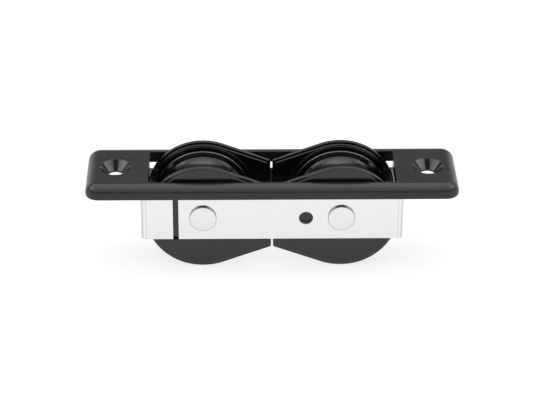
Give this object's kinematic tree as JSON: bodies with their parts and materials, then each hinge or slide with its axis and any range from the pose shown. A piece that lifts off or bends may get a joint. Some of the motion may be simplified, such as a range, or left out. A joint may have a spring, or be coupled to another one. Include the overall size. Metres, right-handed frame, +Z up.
{
  "type": "double through-deck lead block",
  "caption": "Through-deck lead block: grooved sheaves turn between teardrop cheeks in a bent metal strap, hung from a slotted bezel that screws to the deck.",
  "frame": {"origin": "midway between the two deck screws, on the deck plane that the bezel's foot seats on", "axes": "+X along the bezel through both screws, +Y to the side away from the strap's seam, +Z up out of the deck"},
  "size_m": [0.135, 0.0316, 0.0414],
  "materials": {
    "bezel_plastic": "fine moulded grain, dark grey",
    "cheek_plastic": "smooth satin moulding, dark grey",
    "strap_steel": "bright satin stainless strip",
    "sheave_plastic": "smooth turned plastic, near black",
    "bush_bronze": "plain bearing metal",
    "sleeve_steel": "ground stainless tube",
    "rivet_steel": "bright formed stainless",
    "thrust_plastic": "natural white bearing plastic"
  },
  "bodies": {
    "frame": {"deck_bezel": "bezel_plastic", "strap": "strap_steel", "left_front_cheek": "cheek_plastic", "right_front_cheek": "cheek_plastic", "left_rear_cheek": "cheek_plastic", "right_rear_cheek": "cheek_plastic", "left_axle_sleeve": "sleeve_steel", "right_axle_sleeve": "sleeve_steel", "left_axle_rivet": "rivet_steel", "right_axle_rivet": "rivet_steel", "left_rivet_washer": "rivet_steel", "right_rivet_washer": "rivet_steel", "left_front_thrust_washer": "thrust_plastic", "right_front_thrust_washer": "thrust_plastic", "left_rear_thrust_washer": "thrust_plastic", "right_rear_thrust_washer": "thrust_plastic"},
    "left_wheel": {"left_sheave": "sheave_plastic", "left_sheave_bush": "bush_bronze"},
    "right_wheel": {"right_sheave": "sheave_plastic", "right_sheave_bush": "bush_bronze"}
  },
  "joints": [
    {"name": "left_sheave_spin", "type": "hinge", "parent": "frame", "child": "left_wheel", "pos_m": [-0.0252, 0, -0.0101], "axis": [0, 1, 0], "continuous": true},
    {"name": "right_sheave_spin", "type": "hinge", "parent": "frame", "child": "right_wheel", "pos_m": [0.0252, 0, -0.0101], "axis": [0, 1, 0], "continuous": true}
  ]
}
